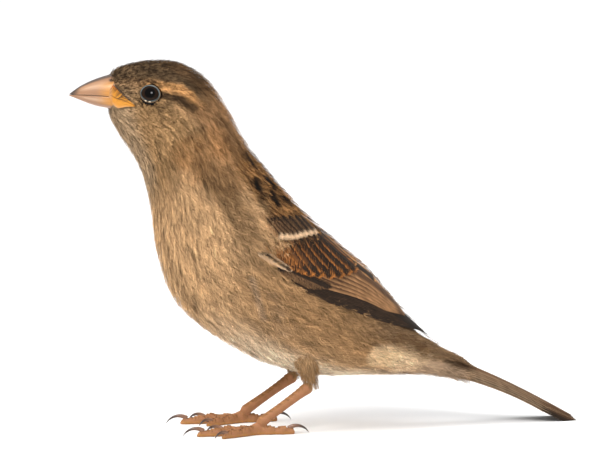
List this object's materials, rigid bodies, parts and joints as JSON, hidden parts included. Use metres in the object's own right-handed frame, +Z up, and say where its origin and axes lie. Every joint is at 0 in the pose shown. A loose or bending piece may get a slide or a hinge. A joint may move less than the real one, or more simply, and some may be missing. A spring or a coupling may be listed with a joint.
{
  "type": "house sparrow",
  "caption": "Life-size still model of a female house sparrow standing on both feet, head up, with its closed tail touching the floor.",
  "frame": {"origin": "on the floor, under the middle of the bird's bounding box", "axes": "+Z up; the bird faces -Y, with the tail towards +Y; its left side is +X"},
  "size_m": [0.0402, 0.1316, 0.0962],
  "materials": {
    "bill": "smooth horn, semi-gloss, darker along the ridge and at the tip, yellow at the gape",
    "eye": "wet, glossy, dark brown",
    "plumage": "soft matt contour feathers, buff brown above, paler below",
    "flight_feather": "smooth satin vanes, dark brown with rufous edges",
    "leg": "scaled skin, pinkish brown, slightly waxy",
    "claw": "smooth dark horn"
  },
  "bodies": {
    "root": {"bill_upper": "bill", "bill_lower": "bill", "head": "plumage", "neck": "plumage", "trunk": "plumage", "eye_left": "eye", "wing_left_shoulder": "plumage", "wing_left_coverts": "plumage", "wing_left_secondaries": "flight_feather", "wing_left_primaries": "flight_feather", "thigh_left": "plumage", "tarsus_left": "leg", "toe_left_middle": "leg", "claw_left_middle": "claw", "toe_left_hind": "leg", "claw_left_hind": "claw", "toe_left_inner": "leg", "claw_left_inner": "claw", "toe_left_outer": "leg", "claw_left_outer": "claw", "eye_right": "eye", "wing_right_shoulder": "plumage", "wing_right_coverts": "plumage", "wing_right_secondaries": "flight_feather", "wing_right_primaries": "flight_feather", "thigh_right": "plumage", "tarsus_right": "leg", "toe_right_middle": "leg", "claw_right_middle": "claw", "toe_right_hind": "leg", "claw_right_hind": "claw", "toe_right_inner": "leg", "claw_right_inner": "claw", "toe_right_outer": "leg", "claw_right_outer": "claw", "tail": "flight_feather"}
  },
  "joints": []
}
